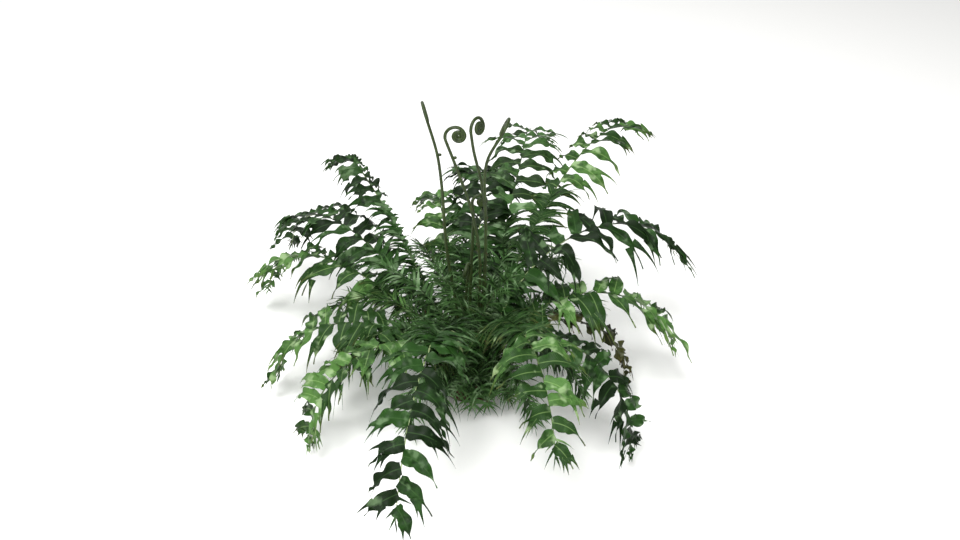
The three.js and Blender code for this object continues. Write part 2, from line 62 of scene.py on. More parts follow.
# Name, foot azimuth, length, slope at foot and tip, swing, leaf size, tone, broad leaves' start and spacing
MAIN_FRONDS = [
    ("frond_right", 3, 518, 81, -68, 3, 1.5, "bright", 0.34, 17),
    ("frond_back_right_low", 32, 645, 86, -56, -8, 1.4, "dark", 0.32, 19),
    ("frond_back_right_long", 52, 905, 68, -37, 12, 0.95, "bright", 0.46, 24),
    ("frond_back_right_high", 68, 760, 63, -24, 19, 1, "mid", 0.42, 22),
    ("frond_back", 83, 705, 77, -53, 8, 0.95, "dark", 0.42, 20),
    ("frond_back_left_short", 104, 640, 67, -50, -10, 0.75, "bright", 0.42, 20),
    ("frond_back_left_long", 129, 835, 57, -38, -28, 0.72, "dark", 0.5, 20),
    ("frond_left_back", 144, 775, 62, -64, -27, 1, "dark", 0.4, 19),
    ("frond_left_high", 157, 695, 60, -70, -29, 0.95, "bright", 0.36, 18),
    ("frond_left", 194, 505, 71, -82, -33, 1.2, "bright", 0.3, 15),
    ("frond_left_front", 222, 535, 81, -100, -18, 0.95, "bright", 0.3, 15),
    ("frond_front", 257, 790, 78, -57, 4, 0.88, "dark", 0.56, 20),
    ("frond_front_right", 298, 635, 88, -60, -20, 0.95, "bright", 0.6, 19),
    ("frond_right_front", 320, 565, 84, -98, 2, 1.05, "dark", 0.42, 16),
    ("frond_right_brown", 344, 480, 88, -108, 26, 0.6, "brown", 0.36, 20),
]
INNER_FRONDS = [
    ("inner_frond_right", 22, 370, 80, -58, 6, 1, "mid"),
    ("inner_frond_right_back", 43, 400, 80, -44, 11, 1, "mid"),
    ("inner_frond_back", 94, 420, 83, -30, -4, 1, "mid"),
    ("inner_frond_back_left", 121, 400, 80, -40, -20, 1, "mid"),
    ("inner_frond_left_back", 172, 390, 80, -54, -22, 1, "bright"),
    ("inner_frond_left", 205, 350, 80, -66, -14, 1, "bright"),
    ("inner_frond_left_front", 239, 290, 79, -88, -5, 1, "mid"),
    ("heart_frond_front_left", 266, 330, 90, 50, -40, 1, "mid"),
    ("heart_frond_front_right", 286, 345, 89, 46, 36, 1, "mid"),
    ("inner_frond_right_front", 310, 270, 78, -90, -8, 1, "mid"),
    ("inner_frond_right_low", 332, 320, 79, -82, 6, 1, "mid"),
    ("heart_frond_right", 357, 270, 86, -14, 8, 1, "mid"),
    ("heart_frond_back_right", 68, 300, 86, 4, -6, 1, "mid"),
    ("heart_frond_back_left", 147, 310, 85, 0, 6, 1, "mid"),
    ("heart_frond_left", 188, 260, 85, -22, 10, 1, "mid"),
    ("heart_frond_front", 222, 300, 87, 6, 34, 1, "mid"),
]
FRINGE_FRONDS = [
    ("fringe_frond_left", 239, 95, 70, -70, -6, 1, "mid"),
    ("fringe_frond_middle", 272, 90, 72, -76, 0, 1, "mid"),
    ("fringe_frond_right", 285, 94, 70, -72, 6, 1, "mid"),
    ("fringe_frond_far_right", 309, 100, 68, -68, 4, 0.7, "mid"),
]
# Short fronds are all comb, so their broad leaflets would begin at the tip
INNER_END = (0.97, 22)

# Growth of the leaflets, in millimetres, degrees and shares; "upright" 1 lifts them off the ground's plane;
# "paleness" paints the fringe fronds, and a little the inner ones, paler as painted light that makes up for
# the shade of the fronds above
MAIN_HABIT = {
    "ring": 40, "start": 52, "spacing": 5.5, "width": 7, "widening": 2.1, "lean": 28, "fullness": 0.88,
    "lift": 0.24, "lift_scatter": 0.5, "droop": 1.3, "upright": 0, "foot_share": 0.62, "paleness": 0,
}
INNER_HABIT = {
    "ring": 23, "start": 14, "spacing": 3.4, "width": 6.5, "widening": 1.2, "lean": 44, "fullness": 0.92,
    "lift": 0.24, "lift_scatter": 0.85, "droop": 1.3, "upright": 0, "foot_share": 0.9, "paleness": 0.25,
}
FRINGE_HABIT = {
    "ring": 40, "start": 12, "spacing": 2.2, "width": 8, "widening": 1, "lean": 26, "fullness": 2,
    "lift": 1.5, "lift_scatter": 1.1, "droop": 3, "upright": 1, "foot_share": 0.9, "paleness": 0.8,
}
COMB_HABIT = {"length_scatter": 0.266, "lean_scatter": 24.7, "twist": 68.4}
BROAD_HABIT = {
    "lean": 14, "lift": 0.24, "lift_scatter": 0.26, "droop": 2,
    "length_scatter": 0.14, "lean_scatter": 18, "twist": 50,
}
DROOP_SCATTER = 0.8
TIP_LEAN = 44
# Longer fronds have longer and wider leaflets
LEAST_VIGOUR, VIGOUR_LENGTH = 0.45, 1300
NARROWEST = 0.6
# Shares of the stalk between which the leaflets change towards its foot or tip
FOOT_SPAN = (0.02, 0.3)
WIDENING_SPAN = 0.22
NARROWING_SPAN, SHORTENING_SPAN = (0.72, 0.92), (0.92, 1)
LEANING_SPAN, STIFFENING_SPAN = (0.86, 1), (0.7, 1)
TIP_STIFFENING = 0.5
COMB_LENGTH = 84
COMB_CROWDING = 1.2
BROAD_END = 0.985
BROAD_LENGTH = 104
BROAD_WIDTH = 29
TIP_NARROWING = 0.2
TIP_SHORTENING = 0.34
SWEEP, SWEEP_START = 0.5, 0.3
HANG_POWER = 1.5
# Fronds with shorter leaflets on one side: the side (1 is left, looking out along the stalk) and their share
SHY_SIDES = {
    "frond_back_right_long": (1, 0.55), "frond_back_left_long": (-1, 0.35), "frond_left_high": (-1, 0.6),
    "frond_right_front": (1, 0.65), "frond_right": (1, 0.78),
}
# How much paler, or deeper below 0, the comb is than the broad leaflets, and one frond than its tone; part of
# the per-frond shift is painted shade: frond_front_right is painted darker where the key light falls straight
# on it
COMB_PALENESS = {"bright": -0.8, "mid": 0.1, "dark": 0.9, "brown": 0.9}
FROND_PALENESS = {
    "frond_front_right": -0.35, "frond_front": -0.2, "frond_back_right_long": -0.4,
    "inner_frond_right_back": 0.9, "inner_frond_right": 0.7, "heart_frond_right": 0.5,
}

# A leaflet that would touch the ground is made stiffer and shorter until it clears it
GROUND_GAP = 4
GROUND_TRIES = 12
STIFFER, SHORTER = 0.75, 0.86
EDGE_REACH = 0.35

# Blades: half thickness, fold along the middle vein, and height of the waves along the edges
COMB_STATIONS = 8
BROAD_STATIONS = 32
BLADE_HALF = 0.3
FOLD = 0.22
COMB_RIPPLE = 0.6
BROAD_RIPPLE = 5.6
RIPPLE_COUNT = 2.1
# Outline of a broad leaflet: where the ribbon narrows to a point, and the lobes along its edges
TAPER_START, TAPER_SCATTER = 0.57, 0.12
TAPER_BEFORE, TAPER_AFTER = 0.14, 0.26
LOBE_COUNTS = (2.1, 2.6)
LOBE_SCATTER = 0.7
LOBE_DEPTH = 0.3
# Outline of a comb leaflet: fine teeth
TOOTH_COUNT, TOOTH_DEPTH = 5, 0.1
# Fork fingers: share of the leaflets that have one, where it leaves, its angle and its length
FORKS = [(0.55, 0.56, 15, 0.6), (0.34, 0.58, -16, 0.5), (0.2, 0.48, 32, 0.46), (0.12, 0.42, -32, 0.42)]
FORK_STATIONS = 10
FORK_SCATTER, FORK_TURN_SCATTER = 0.25, 8
FORK_DROOP = 0.8
FORK_ROOT, FORK_SINK = 0.24, 0.2
# Finger-like leaflets that end a frond
TIP_FINGERS = 7
TIP_FINGERS_START = 0.955
FINGER_LENGTH, FINGER_SCATTER = 34, 0.3
FINGER_WIDTH = 5
FINGER_LEANS, FINGER_LEAN_SCATTER = (20, 75), 12
FINGER_DROOP = 0.5

# Papery scales on the feet of the stalks
SCALE_STATIONS = 4
SCALE_CUP = 0.3
STALK_SCALES = 46
FOOT_BARE = 26
STALK_SCALE_REACH, STALK_SCALE_THINNING = 110, 1.6
STALK_SCALE_LENGTH, STALK_SCALE_SCATTER = 8, 3
STALK_SCALE_SLIMNESS = 0.34
STALK_SCALE_SPREAD, STALK_SCALE_DROOP = 0.55, 0.3

# Croziers: stem points from foot to hook, plane of the coil (degrees), coil radius
CROZIERS = [
    ("crozier_tall_left",
     [(-11, 8, 30), (-28, 14, 180), (-47, 18, 320), (-54, 22, 450), (-62, 26, 520), (-80, 28, 590)], 97, 15),
    ("crozier_coil",
     [(2, -10, 30), (14, -14, 170), (18, -16, 318), (4, -14, 415), (-25, -12, 508), (-45, -12, 566)], 0, 12),
    ("crozier_hook",
     [(8, 9, 30), (22, 14, 180), (30, 16, 340), (24, 18, 450), (7, 18, 530), (2, 18, 566)], 54, 13),
    ("crozier_leaning_right",
     [(13, -4, 30), (26, -6, 180), (30, -6, 380), (31, -4, 515), (60, -4, 574)], 82, 14),
    ("crozier_small", [(-2, 10, 30), (-2, 26, 150), (2, 32, 280), (6, 34, 385), (4, 34, 412)], 12, 9),
    ("crozier_bud", [(-8, -9, 30), (-12, -16, 150), (-8, -20, 250), (-2, -22, 300)], 250, 9),
]
CROZIER_RADIUS = 2.9
FOOT_SWELL, HOOK_SWELL = 0.05, 0.1
HOOK_REACH = 2.1
SEEN_TURNS = 2.6
# How fast the turns close in on the coil's middle, and how fast they thin
COIL_POWER, THINNING_POWER = 0.92, 0.42
# Least radius, and how much the furled tip fills the coil's middle
LEAST_RADIUS, COIL_HEART = 0.25, 1.7
STEM_STATIONS, HOOK_STATIONS, COIL_STATIONS = 40, 18, 90
CROZIER_SCALES = 26
CROZIER_SCALE_LENGTH, CROZIER_SCALE_SCATTER = 6, 2
CROZIER_SCALE_SLIMNESS, CROZIER_SCALE_SPREAD = 0.36, 0.5
TUBE_SIDES = 12
# Small knobs on the right side of a stem: their share of its height, reach, hang and radii
BUDS = {"crozier_tall_left": 0.81, "crozier_coil": 0.87}
BUD_REACH, BUD_HANG = 8, 3
BUD_RADII = [1.2, 1.6, 2.3, 2.9, 3, 2.4, 0.9]
BUD_SIDES = 10

# Crown: heights and radii of the rootstock, its scales, and the broken feet of old stalks
CROWN_HEIGHTS = [0, 3, 12, 30, 46, 56, 61]
CROWN_RADII = [57, 60, 65, 61, 48, 30, 6]
UNDERSIDE_RADIUS = 52
CROWN_STATIONS, CROWN_CORNERS = 40, 144
# Knobs round the rootstock: their number, slant with height and share of the relief
KNOBS = [(7, 0.09, 0.5), (17, -0.2, 0.3)]
KNOB_HEIGHT, GRAIN_HEIGHT = 2.2, 0.7
FLAT_EDGE = 8
CROWN_SCALES = 420
CROWN_SCALES_LOW, CROWN_SCALES_REACH = 2, 56
CROWN_SCALE_ROOT = 1.5
CROWN_SCALE_LENGTH, CROWN_SCALE_LENGTH_SCATTER = 17, 4
CROWN_SCALE_WIDTH, CROWN_SCALE_WIDTH_SCATTER = 7, 1.6
CROWN_SCALE_LEAN, CROWN_SCALE_LEAN_SCATTER = 62, 16
CROWN_SCALE_DROOP = 0.9
GOLDEN_ANGLE = 137.5
OLD_BASES = 5
OLD_BASE_RING, OLD_BASE_HEIGHT = 54, 16
OLD_BASE_LENGTH = 34
OLD_BASE_RADIUS = 4.2
FRAY_STRANDS = 7
FRAY_LENGTH, FRAY_SCATTER = 6, 3
FRAY_SLIMNESS = 0.4

# First numbers of the draws of each kind of leaflet, and of each kind of piece after the fronds
BROAD_INDEX, COMB_INDEX, FINGER_INDEX = 100, 300, 600
CROZIER_PLANT, OLD_BASE_PLANT = 60, 70
GRAIN_PLANT, CROWN_SCALE_PLANT, FRAY_PLANT = 75, 76, 77

# Finish of each face of a frond
TOP, UNDER, STALK, SCALE = 0, 1, 2, 3
# Place across the blade and finish of each corner, for a blade of eight corners; a slim one has every second
BLADE_ACROSS = np.array([-1, -0.5, 0, 0.5, 1, 0.5, 0, -0.5])
BLADE_FINISHES = np.array([TOP, TOP, TOP, TOP, UNDER, UNDER, UNDER, UNDER])

# Sizes of the markings: clouds of paler green, patches of painted sheen that stand in for glossy highlights
# (partly a pale wax film), gaps between side veins
TONE_CLOUD = 18
BLOOM_SHEEN_PATCH = 24
SIDE_VEIN_SPACING = 2.6
# Real fibres are 0.1 to 0.5 mm across and too fine to show, so they are drawn about ten times as coarse
STALK_FIBRE = 3.3
CROZIER_FIBRE = 3.8
SCALE_FIBRE = 2.4
ROOT_FIBRE = 5.5
# Nearly all of a cloudy pattern lies between these values
NOISE_SPAN = (0.3, 0.7)

# Leaf: how far a leaflet's tint and its place on the stalk shift its green; where clouds begin and end
TINT_SHARE, TINT_SHIFT, STALK_PLACE_SHARE = 0.42, -0.2, 0.28
CLOUD_SPAN = (0.32, 0.78)
# Painted sheen, partly a pale wax film: paler patches that stand in for glossy highlights; how much more pale
# leaflets have, where patches begin and end, and how far they cover
BLOOM_SHEEN_TINT_SHARE, BLOOM_SHEEN_SPAN, BLOOM_SHEEN_COVER = 0.07, (0.56, 0.72), 0.6
# Veins: edges of the middle one in half widths of the blade; slant, width and strength of the side ones
MIDRIB_SPAN = (0.02, 0.1)
SIDE_VEIN_SLANT, SIDE_VEIN_WIDTH, SIDE_VEIN_STRENGTH = -2.4, 0.2, 0.3
VEIN_SHARE = 0.4
AGED_SPAN = (0.62, 1.05)
LEAF_GLOSS, LEAF_ROUGHNESS, LEAF_RELIEF = 0.1, (0.32, 0.55), 0.0006
FIBRE_GLOSS, FIBRE_STRETCH = 0.25, (1, 1, 0.25)
FINE_RELIEF, COARSE_RELIEF = 0.0002, 0.001

# Upper face dark and light, underside dark and light, vein, painted sheen (paler patches that stand in for
# highlights, partly a wax film), aged tip and its share
LEAF_COLOURS = {
    "bright": ("173110", "42652f", "1e3d16", "4c7438", "7f9d5e", "96ad80", "6a6430", 0.3),
    "mid": ("14260e", "37562c", "1a2f13", "406033", "5f7c46", "86a07a", "3a501f", 0.2),
    "dark": ("0a1906", "1d3913", "102309", "244417", "37552a", "5f7854", "1c2c14", 0.2),
    "brown": ("171c0a", "333617", "202410", "40421f", "5c5a34", "6f7360", "41301a", 0.6),
}
STALK_COLOURS = {
    "bright": ("33461f", "68794a"),
    "mid": ("2b3b1c", "566845"),
    "dark": ("50633a", "9aa878"),
    "brown": ("3d4426", "6d6d48"),
}

# Soft lights: name, azimuth and elevation in degrees, distance and width in metres, power
LIGHTS = [
    ("key_softbox", -115, 66, 3.0, 1.3, 88),
    ("back_softbox", 130, 50, 3.4, 2.6, 60),
    ("front_softbox", -88, 26, 3.0, 2.4, 70),
]
LIGHT_AIM = 0.3
ROOM_LIGHT = 0.5
FLOOR_SIZE = 30

# The photograph's view: 36 degrees above the crown, which lies left of and below the picture's middle
CAMERA_DISTANCE = 2.52
CAMERA_ELEVATION = 36
CAMERA_FOCAL_PIXELS = 1200
CROWN_PIXEL = (469, 386)
PICTURE_SIZE = (960, 540)
SENSOR_WIDTH = 36


def lerp(a, b, t):
    return a + (b - a) * t


def smooth(x, low, high):
    """Rises softly from 0 at low to 1 at high."""
    t = np.clip((x - low) / (high - low), 0, 1)
    return t * t * (3 - 2 * t)


def unit(v):
    return v / np.linalg.norm(v, axis=-1, keepdims=True)


def draw(plant, leaf, kind):
    """A repeatable draw between -1 and 1; the kind only keeps the draws for one leaflet apart."""
    v = np.sin(plant * 127.1 + leaf * 311.7 + kind * 74.7) * 43758.5453
    return 2 * (v - np.floor(v)) - 1


def column(values):
    return np.asarray(values, float)[..., None]


class Skin:
    """Points and faces of one piece: strips of closed rings, capped at both ends."""

    def __init__(self):
        self.points, self.marks, self.growth = [], [], []
        self.faces, self.finishes = [], []
        self.count = 0

    def add_strips(self, rings, along, across, growth, finishes, flip=None):
        """rings: strips x stations x corners x 3. finishes: a material number for each side of a ring."""
        strips, stations, corners = rings.shape[:3]
        shape = (strips, stations, corners)
        index = self.count + np.arange(strips * stations * corners).reshape(shape)
        self.count += index.size
        self.points.append(rings.reshape(-1, 3))
        marks = np.stack([np.broadcast_to(along, shape), np.broadcast_to(across, shape)], -1)
        self.marks.append(marks.reshape(-1, 2))
        self.growth.append(np.stack([np.broadcast_to(g, shape) for g in growth], -1).reshape(-1, 3))
        turned = np.roll(index, -1, axis=2)
        walls = np.stack([index[:, :-1], turned[:, :-1], turned[:, 1:], index[:, 1:]], -1)
        caps = np.stack([index[:, 0, ::-1], index[:, -1]], 1)
        if flip is not None:
            walls[flip] = walls[flip][..., ::-1]
            caps[flip] = caps[flip][..., ::-1]
        self.faces.append(walls.reshape(-1, 4))
        self.finishes.append(np.broadcast_to(finishes, (strips, stations - 1, corners)).reshape(-1))
        self.faces.append(caps.reshape(-1, corners))
        self.finishes.append(np.full(2 * strips, finishes[0]))

    def mesh(self, name, materials):
        points = np.concatenate(self.points) * METRES
        corners = np.concatenate([f.reshape(-1) for f in self.faces])
        sizes = np.concatenate([np.full(len(f), f.shape[1]) for f in self.faces])
        starts = np.concatenate([[0], np.cumsum(sizes)[:-1]])
        mesh = bpy.data.meshes.new(name)
        mesh.vertices.add(len(points))
        mesh.vertices.foreach_set("co", points.astype(np.float32).reshape(-1))
        mesh.loops.add(len(corners))
        mesh.loops.foreach_set("vertex_index", corners.astype(np.int32))
        mesh.polygons.add(len(sizes))
        mesh.polygons.foreach_set("loop_start", starts.astype(np.int32))
        for material in materials:
            mesh.materials.append(material)
        mesh.polygons.foreach_set("material_index", np.concatenate(self.finishes).astype(np.int32))
        marks = mesh.uv_layers.new(name="blade")
        marks.data.foreach_set("uv", np.concatenate(self.marks)[corners].astype(np.float32).reshape(-1))
        growth = mesh.attributes.new("growth", "FLOAT_VECTOR", "POINT")
        growth.data.foreach_set("vector", np.concatenate(self.growth).astype(np.float32).reshape(-1))
        mesh.update(calc_edges=True)
        mesh.shade_smooth()
        mesh.set_sharp_from_angle(angle=math.radians(SHARP_EDGE))
        return mesh


def add_piece(name, skin, materials, node):
    """One visible piece in place of one bare piece."""
    piece = bpy.data.objects.new(name, skin.mesh(name, materials))
    bpy.context.scene.collection.objects.link(piece)
    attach(piece, "root")
    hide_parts(node)


class FrondPath:
    """The arching middle line of a frond, with its forward, left and up directions."""

    def __init__(self, row, habit):
        self.name, self.azimuth, self.length, self.rise, self.end, self.swing = row[:6]
        self.leaf_size, self.tone = row[6:8]
        self.comb_end, self.spacing = row[8:] or INNER_END
        self.habit = habit
        foot = math.radians(self.azimuth)
        ring = habit["ring"]
        start = np.array([ring * math.cos(foot), ring * math.sin(foot), FOOT_HEIGHT])
        middles = (np.arange(PATH_STEPS) + 0.5) / PATH_STEPS
        steps = self.forward(middles) * self.length / PATH_STEPS
        self.points = start + np.concatenate([np.zeros((1, 3)), np.cumsum(steps, axis=0)])

    def forward(self, s):
        slope = np.radians(lerp(self.rise, self.end, np.maximum(s, 0) ** ARCH_POWER))
        turn = np.radians(self.azimuth + self.swing * s)
        return np.stack([np.cos(slope) * np.cos(turn), np.cos(slope) * np.sin(turn), np.sin(slope)], -1)

    def frame(self, s):
        s = np.asarray(s, float)
        places = np.linspace(0, 1, PATH_STEPS + 1)
        at = np.stack([np.interp(s, places, self.points[:, k]) for k in range(3)], -1)
        turn = np.radians(self.azimuth + self.swing * s)
        forward = self.forward(s)
        left = np.stack([-np.sin(turn), np.cos(turn), np.zeros_like(s)], -1)
        return at, forward, left, np.cross(forward, left)


def leaflet_size(path, habit, plant, index, s, broad):
    """Length, width and sideways sweep of leaflets, before the frond's own size counts."""
    narrowing = TIP_NARROWING * smooth(s, *NARROWING_SPAN)
    towards_tip = 1 - narrowing - TIP_SHORTENING * smooth(s, *SHORTENING_SPAN)
    if broad:
        width = BROAD_WIDTH * (0.5 + 0.5 * towards_tip)
        return BROAD_LENGTH * towards_tip, width, SWEEP * (SWEEP_START + draw(plant, index, 6))
    length = COMB_LENGTH * habit["fullness"] * lerp(habit["foot_share"], 1, smooth(s, *FOOT_SPAN))
    wider = smooth(s, path.comb_end - WIDENING_SPAN, path.comb_end)
    width = habit["width"] * lerp(1, habit["widening"], wider)
    return length * towards_tip, width, np.zeros(len(s))


def plan_leaflets(path, plant, index, s, side, broad):
    """Size, bearing and tint of each leaflet from its place on the stalk."""
    habit = path.habit | (BROAD_HABIT if broad else COMB_HABIT)
    length, width, sweep = leaflet_size(path, habit, plant, index, s, broad)
    vigour = min(1, LEAST_VIGOUR + path.length / VIGOUR_LENGTH)
    shy_side, shy_share = SHY_SIDES.get(path.name, (1, 1))
    length = length * vigour * path.leaf_size * np.where(side == shy_side, shy_share, 1)
    lean = lerp(habit["lean"], TIP_LEAN, smooth(s, *LEANING_SPAN))
    slackness = 1 - TIP_STIFFENING * smooth(s, *STIFFENING_SPAN)
    # The paleness holds painted light for some fronds: the fringe painted paler against its shade,
    # frond_front_right painted darker against the key light
    part_paleness = 0 if broad else COMB_PALENESS[path.tone]
    paleness = part_paleness + habit["paleness"] + FROND_PALENESS.get(path.name, 0)
    return {
        "s": s,
        "side": side,
        "index": index,
        "length": length * (1 + habit["length_scatter"] * draw(plant, index, 1)),
        "width": width * lerp(NARROWEST, 1, vigour),
        "forward": np.radians(lean + habit["lean_scatter"] * draw(plant, index, 2)),
        "lift": habit["lift"] + habit["lift_scatter"] * draw(plant, index, 3),
        "droop": (habit["droop"] + DROOP_SCATTER * draw(plant, index, 4)) * slackness,
        "twist": np.radians(habit["twist"] * draw(plant, index, 5)),
        "sweep": sweep,
        "tint": draw(plant, index, 40) + paleness,
    }


def comb_leaflets(path, plant):
    """The narrow leaflets of the inner part, close together and turn about on the two sides."""
    start, end = path.habit["start"] / path.length, path.comb_end
    pairs = round((end - start) * path.length / path.habit["spacing"])
    place = np.arange(2 * pairs)
    s = lerp(start, end, ((place + 0.5) / (2 * pairs)) ** COMB_CROWDING)
    return plan_leaflets(path, plant, COMB_INDEX + place, s, np.where(place % 2, -1, 1), False)


def broad_leaflets(path, plant):
    """The broad leaflets of the outer part, turn about on the two sides."""
    start = path.comb_end
    count = round((BROAD_END - start) * path.length / path.spacing)
    place = np.arange(count)
    s = lerp(start, BROAD_END, (place + 0.5) / count)
    return plan_leaflets(path, plant, BROAD_INDEX + place, s, np.where(place % 2, -1, 1), True)


def tip_fingers(path, plant):
    """Thin finger-like leaflets that end the stalk in a loose tuft."""
    place = np.arange(TIP_FINGERS)
    index = FINGER_INDEX + place
    outwards = place / (TIP_FINGERS - 1)
    s = lerp(TIP_FINGERS_START, 1, outwards)
    plan = plan_leaflets(path, plant, index, s, np.where(place % 2, -1, 1), True)
    plan["length"] = FINGER_LENGTH * path.leaf_size * (1 + FINGER_SCATTER * draw(plant, index, 1))
    plan["width"] = np.full(TIP_FINGERS, FINGER_WIDTH)
    plan["forward"] = np.radians(lerp(*FINGER_LEANS, outwards) + FINGER_LEAN_SCATTER * draw(plant, index, 2))
    plan["droop"] = FINGER_DROOP + FINGER_DROOP * draw(plant, index, 4)
    return plan


def bent_line(at, start, guide, plan, u):
    """Points and directions of middle lines that sweep along guide and bend down under their own weight."""
    def direction(t):
        sweep = guide[:, None] * (plan["sweep"][:, None] * t)[..., None]
        return unit(start[:, None] + sweep - UP * (plan["droop"][:, None] * t**HANG_POWER)[..., None])
    steps = direction((u[1:] + u[:-1]) / 2) * np.diff(u)[None, :, None] * plan["length"][:, None, None]
    points = at[:, None] + np.concatenate([np.zeros_like(at)[:, None], np.cumsum(steps, axis=1)], axis=1)
    return points, direction(u)


def bent_spines(at, start, guide, plan, u):
    """Middle lines of blades, with the directions ahead, across and off the face; none reaches the ground."""
    side = column(plan["side"])
    for _ in range(GROUND_TRIES):
        points, ahead = bent_line(at, start, guide, plan, u)
        low = points[..., 2].min(axis=1) - plan["width"] * EDGE_REACH < GROUND_GAP
        if not low.any():
            break
        plan["droop"] = np.where(low, plan["droop"] * STIFFER, plan["droop"])
        plan["length"] = np.where(low, plan["length"] * SHORTER, plan["length"])
    guide = np.broadcast_to(guide[:, None], ahead.shape)
    across = unit(guide - ahead * np.sum(guide * ahead, -1, keepdims=True))
    face = -side[:, None] * np.cross(ahead, across)
    turn = (plan["twist"] * plan["side"])[:, None] * smooth(u, 0, 1)
    width = across * column(np.cos(turn)) + face * column(np.sin(turn))
    normal = face * column(np.cos(turn)) - across * column(np.sin(turn))
    return points, ahead, width, normal


def leaflet_spines(path, plan, u):
    """Middle lines of leaflets that leave the stalk sideways, lean forward and lift a little."""
    at, forward, left, up = path.frame(plan["s"])
    start = left * column(plan["side"] * np.cos(plan["forward"])) + forward * column(np.sin(plan["forward"]))
    lifted = lerp(up, UP, path.habit["upright"]) * column(plan["lift"])
    return bent_spines(at, start + lifted, forward, plan, u)


def fork_spines(spines, plan, plant, number, u):
    """Long thin second points that leave a leaflet part way along, like fingers of one hand."""
    share, place, turn, reach = FORKS[number]
    chosen = draw(plant, plan["index"], 50 + number) > 1 - 2 * share
    points, ahead, width, normal = (part[chosen] for part in spines)
    k = round(place * (points.shape[1] - 1))
    fork = {key: value[chosen] for key, value in plan.items()}
    fork["length"] = fork["length"] * reach * (1 + FORK_SCATTER * draw(plant, fork["index"], 60 + number))
    fork["droop"] = FORK_DROOP * fork["droop"]
    fork["sweep"] = 0 * fork["sweep"]
    angle = column(np.radians(turn + FORK_TURN_SCATTER * draw(plant, fork["index"], 70 + number)))
    start = ahead[:, k] * np.cos(angle) + width[:, k] * np.sin(angle)
    beside = column(plan["width"][chosen] * FORK_ROOT * np.sign(turn))
    foot = points[:, k] + width[:, k] * beside + normal[:, k] * (FOLD * np.abs(beside) - FORK_SINK)
    return bent_spines(foot, start, width[:, k], fork, u), fork


def blade_rings(points, width, normal, near, far, fold, ripple, slim):
    """Corners round a thin blade: up its near side, over to the far edge and back underneath."""
    half = BLADE_HALF * np.minimum(1, (near + far) / 2)
    places = [(-near, 0), (-near / 2, 1), (0 * near, 1), (far / 2, 1), (far, 0),
              (far / 2, -1), (0 * near, -1), (-near / 2, -1)][::2 if slim else 1]
    rings = []
    for offset, face in places:
        reach = np.abs(offset) / np.maximum(np.where(offset < 0, near, far), 1e-6)
        sign = np.sign(offset)
        height = fold * np.abs(offset) + ripple[0] * reach**2 * (sign < 0) + ripple[1] * reach**2 * (sign > 0)
        rings.append(points + width * column(offset) + normal * column(height + face * half))
    return np.stack(rings, axis=2)


def broad_outline(u, plan, plant, edge):
    """Half width of one edge: a lobed ribbon from the stalk to past the middle, then a long thin point."""
    taper = TAPER_START + TAPER_SCATTER * column(draw(plant, plan["index"], 24))
    pointed = 1 - 0.9 * smooth(u, taper - TAPER_BEFORE, taper + TAPER_AFTER)
    body = (0.8 + 0.2 * smooth(u, 0, 0.12)) * (1 - 0.1 * u) * pointed
    lobes = LOBE_COUNTS[edge] + LOBE_SCATTER * column(draw(plant, plan["index"], 20 + edge))
    phase = np.pi * column(draw(plant, plan["index"], 22 + edge))
    scallop = np.abs(np.sin(np.pi * lobes * u + phase)) ** 0.8 - 0.6
    depth = LOBE_DEPTH * (1 - smooth(u, taper - 0.05, taper + 0.2)) * smooth(u, 0, 0.1)
    return plan["width"][:, None] / 2 * np.maximum(body * (1 + depth * scallop), 0.035)


def comb_outline(u, plan, plant, edge):
    """Half width of one edge of a narrow leaflet, tapering evenly to a fine point."""
    body = smooth(u, -0.12, 0.14) * (1 - u**1.4)
    phase = np.pi * column(draw(plant, plan["index"], 20 + edge))
    teeth = 1 + TOOTH_DEPTH * np.sin(2 * np.pi * TOOTH_COUNT * u + phase)
    return plan["width"][:, None] / 2 * np.maximum(body * teeth, 0.05)


def finger_outline(u, plan, plant, edge):
    """Half width of one edge of a finger: rooted wide in the blade, then thin and pointed."""
    body = 0.26 * (1 - smooth(u, 0, 0.4)) + 0.32 * (1 - u) ** 0.9
    return plan["width"][:, None] / 2 * np.maximum(body, 0.03)


def edge_wave(u, plan, plant, edge, height):
    """Waves of one edge, up and down off the face."""
    phase = np.pi * column(draw(plant, plan["index"], 30 + edge))
    swell = height * smooth(u, 0, 0.2) * (1 - smooth(u, 0.75, 1))
    return swell * np.sin(2 * np.pi * RIPPLE_COUNT * u + phase)


def add_blades(skin, spines, plan, plant, outline, u, ripple, share, slim=False):
    """Folded, wavy blades round their middle lines; share is where on the leaflet they begin and end."""
    points, _, width, normal = spines
    near, far = outline(u, plan, plant, 0), outline(u, plan, plant, 1)
    waves = [edge_wave(u, plan, plant, edge, ripple) for edge in (0, 1)]
    step = 2 if slim else 1
    skin.add_strips(
        blade_rings(points, width, normal, near, far, FOLD, waves, slim),
        (plan["length"][:, None] * u / MARK_LENGTH)[..., None],
        BLADE_ACROSS[::step],
        (plan["tint"][:, None, None], lerp(*share, u)[None, :, None], plan["s"][:, None, None]),
        BLADE_FINISHES[::step],
        flip=plan["side"] < 0,
    )


def add_leaflets(skin, path, plant, plan, outline, stations, ripple, slim=False):
    u = np.linspace(0, 1, stations + 1)
    spines = leaflet_spines(path, plan, u)
    add_blades(skin, spines, plan, plant, outline, u, ripple, (0, 1), slim)
    return spines


def add_forks(skin, path, plant, broad, spines):
    """The fork fingers of the broad leaflets."""
    u = np.linspace(0, 1, FORK_STATIONS + 1)
    for number in range(len(FORKS)):
        forks, plan = fork_spines(spines, broad, plant, number, u)
        add_blades(skin, forks, plan, plant, finger_outline, u, 0, (0.5, 1), True)


